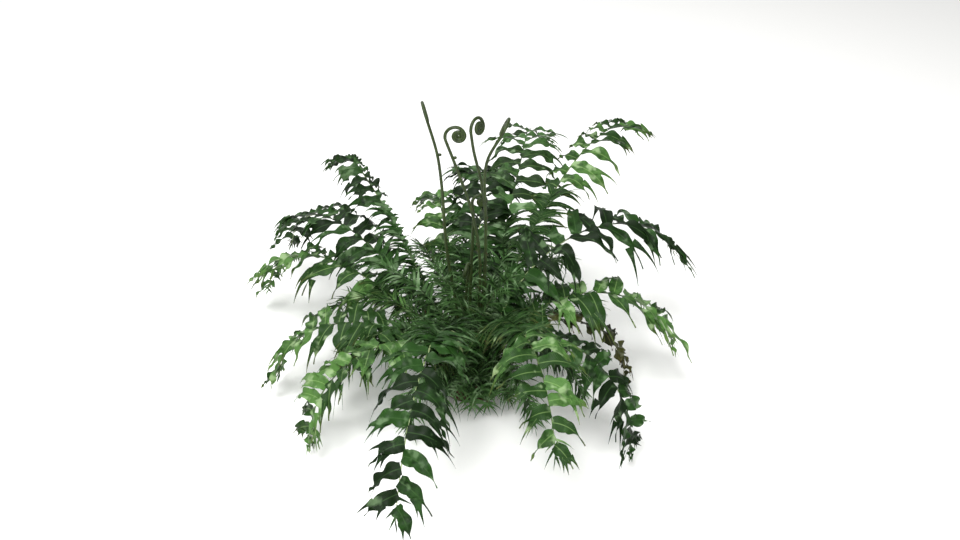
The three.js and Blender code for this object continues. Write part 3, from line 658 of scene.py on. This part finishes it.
def add_stalk(skin, path):
    """The stalk: rounded below, with a shallow groove along its upper face."""
    s = np.linspace(0, 1, STALK_STATIONS)
    at, _, left, up = path.frame(s)
    share = lerp(1, STALK_TIP_SHARE, s)
    corners = [
        at + left * column(x * STALK_HALF_WIDTH * share) + up * column(y * STALK_DEPTH * share)
        for x, y in STALK_PROFILE
    ]
    skin.add_strips(
        np.stack(corners, 1)[None],
        (s * path.length / MARK_LENGTH)[None, :, None],
        np.linspace(-1, 1, len(corners)),
        (0, s[None, :, None], s[None, :, None]),
        np.full(len(corners), STALK),
    )


def add_scales(skin, at, start, guide, length, width, droop, finish):
    """Small papery scales: flat, pointed and a little cupped."""
    count = len(at)
    still = np.zeros(count)
    plan = {"side": np.ones(count), "length": length, "droop": droop}
    plan |= {"width": still, "twist": still, "sweep": still}
    u = np.linspace(0, 1, SCALE_STATIONS + 1)
    points, _, across, normal = bent_spines(at, start, guide, plan, u)
    half = column(width / 2)[..., 0:1] * np.maximum(smooth(u, -0.3, 0.4) * (1 - u**2), 0.06)
    skin.add_strips(
        blade_rings(points, across, normal, half, half, SCALE_CUP, (0 * half, 0 * half), True),
        (column(length) * u / MARK_LENGTH)[..., None],
        BLADE_ACROSS[::2],
        (0, u[None, :, None], 0),
        np.full(4, finish),
    )


def add_stalk_scales(skin, path, plant):
    """Brown scales that clothe the foot of a stalk and thin out upwards."""
    place = np.arange(STALK_SCALES)
    s = (FOOT_BARE + STALK_SCALE_REACH * ((place + 0.5) / STALK_SCALES) ** STALK_SCALE_THINNING) / path.length
    at, forward, left, up = path.frame(s)
    angle = np.pi * draw(plant, place, 80)
    out = left * column(np.cos(angle)) + up * column(np.sin(angle))
    share = column(lerp(1, STALK_TIP_SHARE, s))
    root = at + out * share * STALK_HALF_WIDTH * 0.8 - up * 0.35 * STALK_DEPTH
    length = STALK_SCALE_LENGTH + STALK_SCALE_SCATTER * draw(plant, place, 81)
    width = STALK_SCALE_SLIMNESS * length
    start = unit(forward + STALK_SCALE_SPREAD * out)
    droop = np.full(STALK_SCALES, STALK_SCALE_DROOP)
    add_scales(skin, root, start, np.cross(forward, out), length, width, droop, SCALE)


def dress_frond(path, plant, materials):
    """One frond: comb, broad leaflets with their forks, tuft at the tip, stalk and the scales at its foot."""
    skin = Skin()
    comb = comb_leaflets(path, plant)
    add_leaflets(skin, path, plant, comb, comb_outline, COMB_STATIONS, COMB_RIPPLE, True)
    broad = broad_leaflets(path, plant)
    spines = add_leaflets(skin, path, plant, broad, broad_outline, BROAD_STATIONS, BROAD_RIPPLE)
    add_forks(skin, path, plant, broad, spines)
    fingers = tip_fingers(path, plant)
    add_leaflets(skin, path, plant, fingers, comb_outline, COMB_STATIONS, 0, True)
    add_stalk(skin, path)
    add_stalk_scales(skin, path, plant)
    add_piece(path.name + "_leaves", skin, materials, path.name)


def catmull_rom(stem, t):
    """A point on the centripetal curve through the stem's points."""
    stem = np.asarray(stem, float)
    ends = np.concatenate([[2 * stem[0] - stem[1]], stem, [2 * stem[-1] - stem[-2]]])
    place = min(int(t * (len(stem) - 1)), len(stem) - 2)
    weight = t * (len(stem) - 1) - place
    p0, p1, p2, p3 = ends[place:place + 4]
    d0, d1, d2 = (np.linalg.norm(b - a) ** 0.5 for a, b in ((p0, p1), (p1, p2), (p2, p3)))
    m1 = ((p1 - p0) / d0 - (p2 - p0) / (d0 + d1) + (p2 - p1) / d1) * d1
    m2 = ((p2 - p1) / d1 - (p3 - p1) / (d1 + d2) + (p3 - p2) / d2) * d1
    w2, w3 = weight**2, weight**3
    return p1 * (2 * w3 - 3 * w2 + 1) + m1 * (w3 - 2 * w2 + weight) + p2 * (3 * w2 - 2 * w3) + m2 * (w3 - w2)


def crozier_path(stem, plane, coil):
    """A swaying stem, then a hook that winds in to a flat coil whose turns thin towards the middle."""
    place = np.arange(STEM_STATIONS + 1)
    points = [catmull_rom(stem, t) for t in place / STEM_STATIONS]
    upward = unit(catmull_rom(stem, 1) - catmull_rom(stem, 0.999))
    facing = np.array([math.cos(math.radians(plane)), math.sin(math.radians(plane)), 0])
    out = unit(facing - upward * facing.dot(upward))
    reach = coil * HOOK_REACH
    centre = points[-1] + out * reach
    radii = list(CROZIER_RADIUS * (1 + FOOT_SWELL - FOOT_SWELL * place / STEM_STATIONS))
    turns = np.concatenate([
        np.linspace(0, 0.5, HOOK_STATIONS + 1)[1:],
        np.linspace(0.5, 0.5 + SEEN_TURNS, COIL_STATIONS + 1)[1:],
    ])
    for turned in turns:
        wound = max(0, turned - 0.5) / SEEN_TURNS
        hooked = lerp(reach, coil, smooth(turned, 0, 0.5))
        radius = hooked if turned <= 0.5 else coil * (1 - wound) ** COIL_POWER
        angle = math.pi - 2 * math.pi * turned
        points.append(centre + out * radius * math.cos(angle) + upward * radius * math.sin(angle))
        swollen = CROZIER_RADIUS * (1 + HOOK_SWELL * smooth(turned, 0.15, 0.6))
        heart = COIL_HEART * smooth(wound, 0.8, 1)
        radii.append(swollen * (1 - wound) ** THINNING_POWER + LEAST_RADIUS + heart)
    return np.array(points), np.array(radii)


def tube_frames(points):
    """Ahead, across and over directions that turn as little as they can along a line."""
    ahead = unit(np.gradient(points, axis=0))
    across = [np.array([1.0, 0, 0])]
    for direction in ahead:
        across.append(unit(across[-1] - direction * direction.dot(across[-1])))
    across = np.array(across[1:])
    return ahead, across, np.cross(ahead, across)


def add_tube(skin, points, radii, sides):
    """A round stem along a line of points."""
    _, across, over = tube_frames(points)
    angle = 2 * np.pi * np.arange(sides) / sides
    radii = np.asarray(radii)[:, None, None]
    ring = across[:, None] * np.cos(angle)[:, None] + over[:, None] * np.sin(angle)[:, None]
    lengths = np.concatenate([[0], np.cumsum(np.linalg.norm(np.diff(points, axis=0), axis=1))])
    share = lengths / lengths[-1]
    skin.add_strips(
        (points[:, None] + ring * radii)[None],
        (lengths / MARK_LENGTH)[None, :, None],
        np.linspace(-1, 1, sides),
        (0, share[None, :, None], share[None, :, None]),
        np.zeros(sides, int),
    )


def add_crozier_scales(skin, points, radii, plant):
    """Thin scales on the lower half of a crozier's stem."""
    ahead, across, over = tube_frames(points)
    place = np.arange(CROZIER_SCALES)
    k = np.round(lerp(4, 0.5 * STEM_STATIONS, (place + 0.5) / CROZIER_SCALES)).astype(int)
    angle = np.pi * draw(plant, place, 90)
    out = across[k] * column(np.cos(angle)) + over[k] * column(np.sin(angle))
    length = CROZIER_SCALE_LENGTH + CROZIER_SCALE_SCATTER * draw(plant, place, 91)
    root = points[k] + out * column(radii[k] * 0.8)
    start = unit(ahead[k] + CROZIER_SCALE_SPREAD * out)
    width = CROZIER_SCALE_SLIMNESS * length
    add_scales(skin, root, start, np.cross(ahead[k], out), length, width, 0 * length, 1)


def add_bud(skin, points, height_share):
    """A small knob that hangs off the right side of a stem."""
    ahead = tube_frames(points)[0]
    k = round(height_share * STEM_STATIONS)
    out = unit(np.array([1.0, 0, 0]) - ahead[k] * ahead[k][0])
    line = points[k] + np.linspace(0, 1, len(BUD_RADII))[:, None] * (out * BUD_REACH - ahead[k] * BUD_HANG)
    add_tube(skin, line, BUD_RADII, BUD_SIDES)


def dress_crozier(name, stem, plane, coil, plant, materials):
    """A young stem with its hook and coil, scales on its lower half, and on some a bud."""
    skin = Skin()
    points, radii = crozier_path(stem, plane, coil)
    add_tube(skin, points, radii, TUBE_SIDES)
    add_crozier_scales(skin, points, radii, plant)
    if name in BUDS:
        add_bud(skin, points, BUDS[name])
    add_piece(name + "_stem", skin, materials, name)


def crown_profile(height):
    """Radius of the rootstock at each height."""
    return np.interp(height, CROWN_HEIGHTS, CROWN_RADII)


def add_rootstock(skin):
    """The knobbly dome itself, flat underneath."""
    height = np.concatenate([[0], np.linspace(0, CROWN_HEIGHTS[-1], CROWN_STATIONS)])
    angle = 2 * np.pi * np.arange(CROWN_CORNERS) / CROWN_CORNERS
    knobs = sum(
        share * np.sin(count * angle[None] + slant * height[:, None]) for count, slant, share in KNOBS
    )
    grain = draw(GRAIN_PLANT, np.arange(CROWN_CORNERS)[None], np.arange(len(height))[:, None])
    swell = smooth(height, 0, FLAT_EDGE)[:, None] * (KNOB_HEIGHT * knobs + GRAIN_HEIGHT * grain)
    profile = crown_profile(height)
    profile[0] = UNDERSIDE_RADIUS
    ring = np.stack([np.cos(angle), np.sin(angle), 0 * angle], -1)
    skin.add_strips(
        (ring * (profile[:, None] + swell)[..., None] + UP * height[:, None, None])[None],
        (height / MARK_LENGTH)[None, :, None],
        np.linspace(-1, 1, len(angle)),
        (0, 0, 0),
        np.zeros(len(angle), int),
    )


def add_crown_scales(skin):
    """Overlapping scales in rows, steeper towards the top, between the stalks."""
    place = np.arange(CROWN_SCALES)
    height = CROWN_SCALES_LOW + CROWN_SCALES_REACH * ((place + 0.5) / CROWN_SCALES)
    angle = math.radians(GOLDEN_ANGLE) * place + 0.2 * draw(CROWN_SCALE_PLANT, place, 1)
    out = np.stack([np.cos(angle), np.sin(angle), 0 * angle], -1)
    beside = np.stack([-np.sin(angle), np.cos(angle), 0 * angle], -1)
    root = out * column(crown_profile(height) - CROWN_SCALE_ROOT) + UP * column(height)
    lean = np.radians(CROWN_SCALE_LEAN + CROWN_SCALE_LEAN_SCATTER * draw(CROWN_SCALE_PLANT, place, 2))
    start = out * column(np.cos(lean)) + UP * column(np.sin(lean))
    length = CROWN_SCALE_LENGTH + CROWN_SCALE_LENGTH_SCATTER * draw(CROWN_SCALE_PLANT, place, 3)
    width = CROWN_SCALE_WIDTH + CROWN_SCALE_WIDTH_SCATTER * draw(CROWN_SCALE_PLANT, place, 4)
    add_scales(skin, root, start, beside, length, width, np.full(CROWN_SCALES, CROWN_SCALE_DROOP), 1)


def add_frayed_end(skin, line, out, number):
    """Strands that stick out of the broken end of an old stalk."""
    strand = np.arange(FRAY_STRANDS)
    spin = 2 * np.pi * strand / FRAY_STRANDS
    end = unit(line[-1] - line[-2])
    beside = np.cross(out, UP)
    rim = beside * column(np.cos(spin)) + np.cross(end, beside) * column(np.sin(spin))
    ahead = end + 0 * rim
    length = FRAY_LENGTH + FRAY_SCATTER * draw(FRAY_PLANT + number, strand, 1)
    root = line[-1] + rim * OLD_BASE_RADIUS * 0.6 - ahead
    width = FRAY_SLIMNESS * length
    add_scales(skin, root, ahead + 0.2 * rim, np.cross(ahead, rim), length, width, 0 * length, 1)


def add_old_bases(skin):
    """Broken feet of old stalks, with a frayed end."""
    for number in range(OLD_BASES):
        angle = math.radians(360 * (number + 0.5 + 0.3 * draw(OLD_BASE_PLANT, number, 1)) / OLD_BASES)
        out = np.array([math.cos(angle), math.sin(angle), 0])
        foot = out * OLD_BASE_RING + UP * OLD_BASE_HEIGHT
        length = OLD_BASE_LENGTH * (1 + 0.25 * draw(OLD_BASE_PLANT, number, 2))
        bend = np.linspace(0, 1, 9)[:, None]
        line = foot + bend * (out * length * 0.62 + UP * length * 0.78) + 2 * np.sin(np.pi * bend) * UP
        radii = OLD_BASE_RADIUS * (1.15 - 0.3 * bend[:, 0]) * (1 + 0.08 * np.sin(9 * bend[:, 0] + number))
        add_tube(skin, line, radii, TUBE_SIDES)
        add_frayed_end(skin, line, out, number)


def dress_crown(materials):
    """The rootstock with its scales and old stalk feet."""
    skin = Skin()
    add_rootstock(skin)
    add_crown_scales(skin)
    add_old_bases(skin)
    add_piece("crown_rootstock", skin, materials, "crown")


def linear(hex_colour):
    """sRGB hex to the linear values that shaders use."""
    parts = [int(hex_colour[i:i + 2], 16) / 255 for i in (0, 2, 4)]
    return tuple(c / 12.92 if c <= 0.04045 else ((c + 0.055) / 1.055) ** 2.4 for c in parts) + (1.0,)


def per_metre(size):
    """How often a pattern of this size in millimetres comes in a metre."""
    return 1000 / size


def add_node(tree, kind, settings=None, inputs=None):
    """A node with its settings, and its inputs as values or as sockets to link."""
    node = tree.nodes.new(kind)
    for key, value in (settings or {}).items():
        setattr(node, key, value)
    for key, value in (inputs or {}).items():
        if isinstance(value, bpy.types.NodeSocket):
            tree.links.new(value, node.inputs[key])
        else:
            node.inputs[key].default_value = value
    return node


def work_out(tree, operation, *values):
    return add_node(tree, "ShaderNodeMath", {"operation": operation}, dict(enumerate(values))).outputs[0]


def soft_step(tree, value, span, start, end):
    """Goes softly from start to end while the value crosses the span."""
    inputs = dict(enumerate((value, *span, start, end)))
    return add_node(tree, "ShaderNodeMapRange", {"interpolation_type": "SMOOTHSTEP"}, inputs).outputs[0]


def even_step(tree, value, start, end):
    """Goes evenly from start to end over the values that a cloudy pattern takes."""
    inputs = dict(enumerate((value, *NOISE_SPAN, start, end)))
    return add_node(tree, "ShaderNodeMapRange", inputs=inputs).outputs[0]


def mixed(tree, share, first, second):
    inputs = {"Factor": share, 6: first, 7: second}
    return add_node(tree, "ShaderNodeMix", {"data_type": "RGBA"}, inputs).outputs[2]


def cloudy(tree, place, size, detail, roughness):
    inputs = {"Vector": place, "Scale": per_metre(size), "Detail": detail, "Roughness": roughness}
    return add_node(tree, "ShaderNodeTexNoise", inputs=inputs).outputs[0]


def new_material(name, specular, roughness):
    material = bpy.data.materials.new(name)
    material.use_nodes = True
    tree = material.node_tree
    shader = tree.nodes["Principled BSDF"]
    shader.inputs["Specular IOR Level"].default_value = specular
    shader.inputs["Roughness"].default_value = roughness
    return material, tree, shader


def add_relief(tree, shader, height, strength, depth, sunk=False):
    bump = add_node(tree, "ShaderNodeBump", {"invert": sunk}, {
        "Strength": strength, "Distance": depth, "Height": height})
    tree.links.new(bump.outputs[0], shader.inputs["Normal"])


# Clouds of deeper and paler green keep a leaflet from looking painted, and no two leaflets quite match
def clouded_flesh(tree, clouds, grown, dark, light):
    # The leaflet's tint carries the painted light of some fronds as well as its own random tone
    tinted = work_out(tree, "MULTIPLY_ADD", grown[0], TINT_SHARE, TINT_SHIFT)
    # Leaflets nearer the foot of the stalk are darker, and those nearer its tip paler
    placed_shift = work_out(tree, "MULTIPLY_ADD", grown[2], STALK_PLACE_SHARE, tinted)
    spread = soft_step(tree, work_out(tree, "ADD", clouds, placed_shift), CLOUD_SPAN, 0, 1)
    return mixed(tree, spread, linear(dark), linear(light))


# Painted sheen: soft patches of a milky paler green that stand in for glossy highlights, partly a thin wax
# film that dulls the green
def bloom_and_painted_sheen(tree, place, grown, flesh, bloom_and_sheen):
    patches = cloudy(tree, place, BLOOM_SHEEN_PATCH, 2, 0.5)
    settled = work_out(tree, "MULTIPLY_ADD", grown[0], BLOOM_SHEEN_TINT_SHARE, patches)
    return mixed(tree, soft_step(tree, settled, BLOOM_SHEEN_SPAN, 0, BLOOM_SHEEN_COVER), flesh, linear(bloom_and_sheen))


# A pale middle vein, and fine side veins that slant forward from it to the edges
def vein_lines(tree, blade):
    distance = work_out(tree, "ABSOLUTE", blade[1])
    midrib = soft_step(tree, distance, MIDRIB_SPAN, 1, 0)
    along = work_out(tree, "MULTIPLY_ADD", blade[0], MARK_LENGTH / SIDE_VEIN_SPACING, 0)
    slanted = work_out(tree, "MULTIPLY_ADD", distance, SIDE_VEIN_SLANT, along)
    cycle = work_out(tree, "PINGPONG", slanted, 0.5)
    side_veins = soft_step(tree, cycle, (0, SIDE_VEIN_WIDTH), SIDE_VEIN_STRENGTH, 0)
    return work_out(tree, "MAXIMUM", midrib, side_veins)


# Leathery leaf: it gives a soft, broken gloss, raised veins and tips that have begun to brown
def leaf_material(name, dark, light, vein, bloom_and_sheen, tip, tip_share):
    material, tree, shader = new_material(name, LEAF_GLOSS, LEAF_ROUGHNESS[0])
    marks = add_node(tree, "ShaderNodeUVMap", {"uv_map": "blade"})
    blade = add_node(tree, "ShaderNodeSeparateXYZ", inputs={0: marks.outputs[0]}).outputs
    growth = add_node(tree, "ShaderNodeAttribute", {"attribute_name": "growth"})
    grown = add_node(tree, "ShaderNodeSeparateXYZ", inputs={0: growth.outputs["Vector"]}).outputs
    place = add_node(tree, "ShaderNodeTexCoord").outputs["Object"]
    clouds = cloudy(tree, place, TONE_CLOUD, 3, 0.6)
    # The paler patches laid over the body are painted sheen, standing in for glossy highlights
    body = bloom_and_painted_sheen(tree, place, grown, clouded_flesh(tree, clouds, grown, dark, light), bloom_and_sheen)
    veins = vein_lines(tree, blade)
    veined = mixed(tree, work_out(tree, "MULTIPLY", veins, VEIN_SHARE), body, linear(vein))
    aged = soft_step(tree, grown[1], AGED_SPAN, 0, tip_share)
    tree.links.new(mixed(tree, aged, veined, linear(tip)), shader.inputs["Base Color"])
    tree.links.new(even_step(tree, clouds, *LEAF_ROUGHNESS), shader.inputs["Roughness"])
    raised = work_out(tree, "MULTIPLY_ADD", clouds, 0.5, veins)
    add_relief(tree, shader, raised, 0.5, LEAF_RELIEF, sunk=True)
    return material


# Fibrous plant skin: long streaks of a lighter and a darker shade, drawn out upwards, and a fine relief
def fibrous_skin(name, dark, light, fibre, roughness, relief):
    material, tree, shader = new_material(name, FIBRE_GLOSS, roughness)
    place = add_node(tree, "ShaderNodeTexCoord").outputs["Object"]
    stretched = add_node(tree, "ShaderNodeMapping", inputs={0: place, 3: FIBRE_STRETCH}).outputs[0]
    fibres = cloudy(tree, stretched, fibre, 4, 0.6)
    colour = mixed(tree, even_step(tree, fibres, 0, 1), linear(dark), linear(light))
    tree.links.new(colour, shader.inputs["Base Color"])
    add_relief(tree, shader, fibres, 0.6, relief)
    return material


# Smooth rind of a grown stalk: a pale green line along each frond
def stalk_rind(tone):
    return fibrous_skin("stalk_rind_" + tone, *STALK_COLOURS[tone], STALK_FIBRE, 0.45, FINE_RELIEF)


# Young rind: dark olive with a satin sheen
def young_stem_rind():
    return fibrous_skin("young_stem_rind", "18220e", "33421d", CROZIER_FIBRE, 0.4, FINE_RELIEF)


# Papery scale: dry, dull brown with paler streaks
def papery_scale():
    return fibrous_skin("papery_scale", "2e2117", "665038", SCALE_FIBRE, 0.7, FINE_RELIEF)


# Rootstock: rough, dark brown and matted
def rootstock_fibre():
    return fibrous_skin("rootstock_fibre", "20170f", "4d3a26", ROOT_FIBRE, 0.85, COARSE_RELIEF)


def frond_materials(tone, scale_finish):
    """Finishes of a frond, in the order of its faces' numbers."""
    dark, light, under_dark, under_light, *details = LEAF_COLOURS[tone]
    return [
        leaf_material("leaf_upper_face_" + tone, dark, light, *details),
        leaf_material("leaf_underside_" + tone, under_dark, under_light, *details),
        stalk_rind(tone),
        scale_finish,
    ]


# Matte white paper: plain ground that shows the plant's soft shadow
def add_floor():
    bpy.ops.mesh.primitive_plane_add(size=FLOOR_SIZE)
    floor = bpy.context.object
    floor.name = "studio_floor"
    material, _, shader = new_material("matte_paper_sweep", 0.1, 0.9)
    shader.inputs["Base Color"].default_value = linear("fbfbf9")
    floor.data.materials.append(material)


def add_light(name, azimuth, elevation, distance, size, power):
    """A round soft light that faces the plant."""
    data = bpy.data.lights.new(name, "AREA")
    data.shape = "DISK"
    data.size = size
    data.energy = power
    light = bpy.data.objects.new(name, data)
    bpy.context.scene.collection.objects.link(light)
    a, e = math.radians(azimuth), math.radians(elevation)
    place = Vector((math.cos(a) * math.cos(e), math.sin(a) * math.cos(e), math.sin(e))) * distance
    light.location = place + Vector((0, 0, LIGHT_AIM))
    light.rotation_euler = (-place).to_track_quat("-Z", "Y").to_euler()


def add_world():
    """Even white light from all round."""
    world = bpy.data.worlds.new("studio_air")
    world.use_nodes = True
    air = world.node_tree.nodes["Background"].inputs
    air["Color"].default_value = (1, 1, 1, 1)
    air["Strength"].default_value = ROOM_LIGHT
    bpy.context.scene.world = world
    bpy.context.scene.view_settings.view_transform = "Standard"


def add_camera():
    """The photograph's angle, turned so that the crown's foot lies on its pixel."""
    data = bpy.data.cameras.new("photo_view")
    data.sensor_width = SENSOR_WIDTH
    data.lens = SENSOR_WIDTH * CAMERA_FOCAL_PIXELS / PICTURE_SIZE[0]
    data.clip_start, data.clip_end = 0.05, 60
    camera = bpy.data.objects.new("photo_view", data)
    bpy.context.scene.collection.objects.link(camera)
    e = math.radians(CAMERA_ELEVATION)
    camera.location = (0, -CAMERA_DISTANCE * math.cos(e), CAMERA_DISTANCE * math.sin(e))
    pitch = e - math.atan((CROWN_PIXEL[1] - PICTURE_SIZE[1] / 2) / CAMERA_FOCAL_PIXELS)
    pan = math.atan((PICTURE_SIZE[0] / 2 - CROWN_PIXEL[0]) / CAMERA_FOCAL_PIXELS)
    camera.rotation_euler = (math.pi / 2 - pitch, 0, -pan)
    bpy.context.scene.camera = camera


add_floor()
add_world()
for light_row in LIGHTS:
    add_light(*light_row)
add_camera()

scale_finish = papery_scale()
blade_finishes = {tone: frond_materials(tone, scale_finish) for tone in LEAF_COLOURS}
paths = [FrondPath(row, MAIN_HABIT) for row in MAIN_FRONDS]
paths += [FrondPath(row, INNER_HABIT) for row in INNER_FRONDS]
paths += [FrondPath(row, FRINGE_HABIT) for row in FRINGE_FRONDS]
for plant, path in enumerate(paths):
    dress_frond(path, plant, blade_finishes[path.tone])

crozier_finish = [young_stem_rind(), scale_finish]
for number, (name, stem, plane, coil) in enumerate(CROZIERS):
    dress_crozier(name, stem, plane, coil, CROZIER_PLANT + number, crozier_finish)
dress_crown([rootstock_fibre(), scale_finish])
